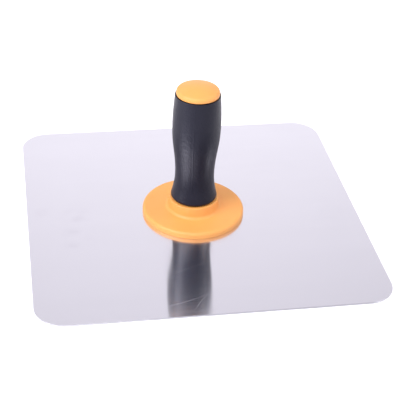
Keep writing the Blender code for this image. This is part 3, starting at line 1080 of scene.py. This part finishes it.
pocket_rows = np.array([(POCKET_OUTER, POCKET_ROOF), (POCKET_INNER, POCKET_ROOF)])
centre_part = rounded(
    [
        (POCKET_INNER, core_low.z, 0),
        (RECESS_RADIUS, core_low.z, 0.3 * MM),
        (RECESS_RADIUS, RECESS_ROOF, 0.6 * MM),
        (WELL_RADIUS, RECESS_ROOF, 0.3 * MM),
        (WELL_RADIUS, insert_low.z, 0.3 * MM),
        (NUT_RADIUS, insert_low.z, 0),
        (NUT_RADIUS, NUT_ROOF, 0),
        (0.0, NUT_ROOF, 0),
    ],
    steps=4,
)
print(f"pockets {(POCKET_ROOF - core_low.z) / MM:.1f} mm deep, nut well to {NUT_ROOF / MM:.1f} mm")

# %% Core mesh
RIB_COUNT = 12
RIB_HALF = 0.055            # half a rib, as a share of its twelfth of the ring

pocket_columns = np.concatenate([[RIB_HALF], np.linspace(0, 1, 16)[1:-1], [1 - RIB_HALF]])
sector = np.concatenate([[0, RIB_HALF], pocket_columns, [1 - RIB_HALF]])
in_pocket = np.isin(np.arange(len(sector)), np.arange(2, 2 + len(pocket_columns)))
core_angles = np.concatenate([(k + sector) * math.tau / RIB_COUNT for k in range(RIB_COUNT)])
roof = turned(pocket_rows, core_angles)
roof[..., 2] = np.where(np.tile(in_pocket, RIB_COUNT), roof[..., 2], core_low.z)
core_points = np.concatenate([turned(outside, core_angles), roof, turned(centre_part, core_angles)])
core_mesh = mesh_from("orange_core", core_points, grid_faces(*core_points.shape[:2]))

# %% [markdown]
# ### Orange moulding
# Satin plastic: a strong base colour, a broad soft gloss, and a trace of light scattered below the
# skin, which keeps the shaded side warm. A plain colour would look like paper. The pebble is far
# finer than the eye sees, and only breaks up the highlight.

# %% Orange finish
ORANGE_DARK = (0.80, 0.355, 0.090, 1.0)
ORANGE_LIGHT = (0.83, 0.372, 0.098, 1.0)
ORANGE_HAZE = (0.44, 0.54)
orange, shader, make = material(
    "orange_moulding", Subsurface_Weight=0.15, Subsurface_Radius=(0.004, 0.002, 0.0008)
)
skin = use(make, moulded_skin, {"Pebble Scale": 2200.0})
smear = use(make, handling, {"Smear Scale": 40.0})["Smear"]
orange_tone = make.blend(skin["Blotch"], ORANGE_DARK, ORANGE_LIGHT)
orange_gloss = make.span(smear, 0.0, 1.0, *ORANGE_HAZE)
cover(make, shader, orange_tone, orange_gloss, skin["Height"], depth=0.02 * MM)
show("orange_core", core_mesh, "handle", "orange", orange, "handle_core")

# %% [markdown]
# ## The soft grip
# A sleeve of soft rubber moulded over the core: waisted above the collar for the thumb and first
# finger, then swelling to fill the palm. A Bezier curve could be dragged to that line by eye. A
# spline through a few measured radii gives it again at every run. A step round the cap leaves a
# dark line there. The mould closed along two lines on opposite sides, and each left a faint seam.

# %% Grip side line
GRIP_RADII_MM = (21.4, 18.2, 17.6, 18.9, 20.75, 21.35, 20.95, 19.8)  # evenly from foot to top
GRIP_FOOT_ROUND = 2.6 * MM
GRIP_TOP_ROUND = 0.35 * MM


def spline(heights, values, at):
    """A natural cubic spline through the knots.

    Between two knots the value is a cubic that meets its neighbours in place, slope and bend. The
    bends at the knots, nothing at both ends, are the answer to one small linear system: each knot's
    bend and its neighbours', weighed by the steps between them, make six times the change of slope.
    """
    count, step = len(heights), np.diff(heights)
    inner = np.arange(1, count - 1)
    system, load = np.eye(count), np.zeros(count)
    system[inner, inner - 1] = step[:-1]
    system[inner, inner] = 2 * (step[:-1] + step[1:])
    system[inner, inner + 1] = step[1:]
    load[inner] = 6 * np.diff(np.diff(values) / step)
    bend = np.linalg.solve(system, load)
    i = np.clip(np.searchsorted(heights, at) - 1, 0, count - 2)
    done, left = at - heights[i], heights[i + 1] - at
    return (
        (bend[i] * left**3 + bend[i + 1] * done**3) / (6 * step[i])
        + (values[i] / step[i] - bend[i] * step[i] / 6) * left
        + (values[i + 1] / step[i] - bend[i + 1] * step[i] / 6) * done
    )


knots = np.linspace(grip_low.z, grip_high.z, len(GRIP_RADII_MM))
side_z = np.linspace(grip_high.z - GRIP_TOP_ROUND, grip_low.z + GRIP_FOOT_ROUND, 120)
side_r = spline(knots, np.array(GRIP_RADII_MM) * MM, side_z)
print(f"grip {2 * side_r.min() / MM:.1f} to {2 * side_r.max() / MM:.1f} mm across")

# %% Grip profile
GRIP_BORE = TUBE_RADIUS + CLEARANCE
STEP_RADIUS = 19.4 * MM     # of the step round the cap
STEP_DEPTH = 0.8 * MM

swing = np.linspace(math.pi / 2, 0, 8)[:-1]
brow_r = side_r[0] + GRIP_TOP_ROUND * (np.cos(swing) - 1)
brow_z = side_z[0] + GRIP_TOP_ROUND * np.sin(swing)
swing = np.linspace(0, math.pi / 2, 10)[1:]
foot_r = side_r[-1] + GRIP_FOOT_ROUND * (np.cos(swing) - 1)
foot_z = side_z[-1] - GRIP_FOOT_ROUND * np.sin(swing)
step_low = grip_high.z - STEP_DEPTH
grip_profile = np.column_stack(
    [
        np.concatenate([[GRIP_BORE, STEP_RADIUS, STEP_RADIUS], brow_r, side_r, foot_r, [GRIP_BORE]]),
        np.concatenate([[step_low, step_low, grip_high.z], brow_z, side_z, foot_z, [grip_low.z]]),
    ]
)
print("grip profile of", len(grip_profile), "points")

# %% Grip mesh with its two mould seams
SEAM_HEIGHT = 0.13 * MM
SEAM_WIDTH = 0.35 * MM
SEAM_ANGLE = math.radians(-106)

r, z = grip_profile[:, :1], grip_profile[:, 1:]
a = even_angles(384)
off_seam = np.abs((a - SEAM_ANGLE + math.pi / 2) % math.pi - math.pi / 2)
on_outside = r > GRIP_BORE + SAME_PLACE
ridge = SEAM_HEIGHT * np.exp(-((off_seam * r / SEAM_WIDTH) ** 2)) * on_outside
grip_points = round_axis(r + ridge, a, z)
grip_mesh = mesh_from("black_grip", grip_points, grid_faces(*grip_points.shape[:2], wrap_rows=True))

# %% [markdown]
# ### Soft-touch rubber
# The rubber is nearly black, with a cool cast in its gloss, so what shows is its highlight. A
# smooth one would look like lacquer. Here the pebble that tilts the surface also makes it glossier
# and duller from point to point, which gives the highlight its speckle.

# %% Rubber finish
RUBBER_DARK = (0.003, 0.003, 0.009, 1.0)
RUBBER_LIGHT = (0.006, 0.006, 0.013, 1.0)
RUBBER_HAZE = (0.35, 0.45)
PEBBLE_HAZE = (-0.07, 0.07)
rubber, shader, make = material(
    "soft_rubber", Specular_IOR_Level=0.32, Specular_Tint=(0.86, 0.86, 1.0, 1.0)
)
skin = use(make, moulded_skin, {"Pebble Scale": 700.0})
smear = use(make, handling, {"Smear Scale": 30.0})["Smear"]
rubber_tone = make.blend(skin["Blotch"], RUBBER_DARK, RUBBER_LIGHT)
speckle = make.span(skin["Height"], *MOST_OF_NOISE, *PEBBLE_HAZE)
rubber_gloss = make.math("ADD", make.span(smear, 0.0, 1.0, *RUBBER_HAZE), speckle)
cover(make, shader, rubber_tone, rubber_gloss, skin["Height"], depth=0.26 * MM)
grip = show("black_grip", grip_mesh, "handle", "grip", rubber, "soft_grip")

# %% [markdown]
# ### A lamp for the grip alone
# A band of light runs down the left of the grip, from the cap to the foot. The left lamp is too
# high for that, and a lower one would show in the plate as a white patch. Light linking settles it:
# a narrow strip lamp stands low at the left and lights only what is in its own collection.

# %% Strip lamp
GRIP_WAIST = (0, 0, 0.05)
strip = soft_lamp("grip_strip", (-1.15, -0.34, 0.35), GRIP_WAIST, width=0.30, height=0.55, power=10.0)
lit_by_strip = bpy.data.collections.new("lit_by_strip")
lit_by_strip.objects.link(grip)
strip.light_linking.receiver_collection = lit_by_strip
print("the strip lights", ", ".join(piece.name for piece in lit_by_strip.objects))

# %% [markdown]
# ## The end cap
# A low dome with a rounded shoulder closes the tube, pressed in by a hollow plug. Half of a
# squashed sphere would bulge too much near its rim: the crown is a parabola instead, flat in the
# middle, which runs into the shoulder's arc. The cap is the core's orange again.

# %% Cap
CAP_SIDE = 1.8 * MM
CAP_ROUND = 3.0 * MM
PLUG_WALL = 1.6 * MM
SHOULDER_DROP = 0.1 * MM    # of the side's first point below the shoulder's arc
cap_low, cap_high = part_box("end_cap")
cap_seat = grip_high.z + CLEARANCE
shoulder = cap_seat + CAP_SIDE
crown_radius = cap_high.x - CAP_ROUND
crown_low = shoulder + CAP_ROUND
plug = TUBE_BORE - CLEARANCE

share = np.linspace(0, 1, 24)
crown_z = crown_low + (cap_high.z - crown_low) * (1 - share**2)
crown = np.column_stack([crown_radius * share, crown_z])
swing = np.linspace(math.pi / 2, 0, 12)[1:]
shoulder_arc = (crown_radius, shoulder) + CAP_ROUND * np.column_stack([np.cos(swing), np.sin(swing)])
skirt = rounded(
    [
        (cap_high.x, shoulder - SHOULDER_DROP, 0),
        (cap_high.x, cap_seat, 0.3 * MM),
        (plug, cap_seat, 0),
        (plug, cap_low.z, 0.4 * MM),
        (plug - PLUG_WALL, cap_low.z, 0.3 * MM),
        (plug - PLUG_WALL, cap_seat, 0),
        (0.0, cap_seat, 0),
    ],
    steps=4,
)
cap_mesh = turned_mesh("orange_cap", np.concatenate([crown, shoulder_arc, skirt]))
show("orange_cap", cap_mesh, "handle", "orange", orange, "end_cap")

# The two boxes could be compared by eye, but they are written down side by side, so that a slip
# shows as a number.

# %% Write the two boxes and finish
new_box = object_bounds()
sizes = {"cad": [list(corner) for corner in cad_box], "visual": [list(corner) for corner in new_box]}
print(sizes)
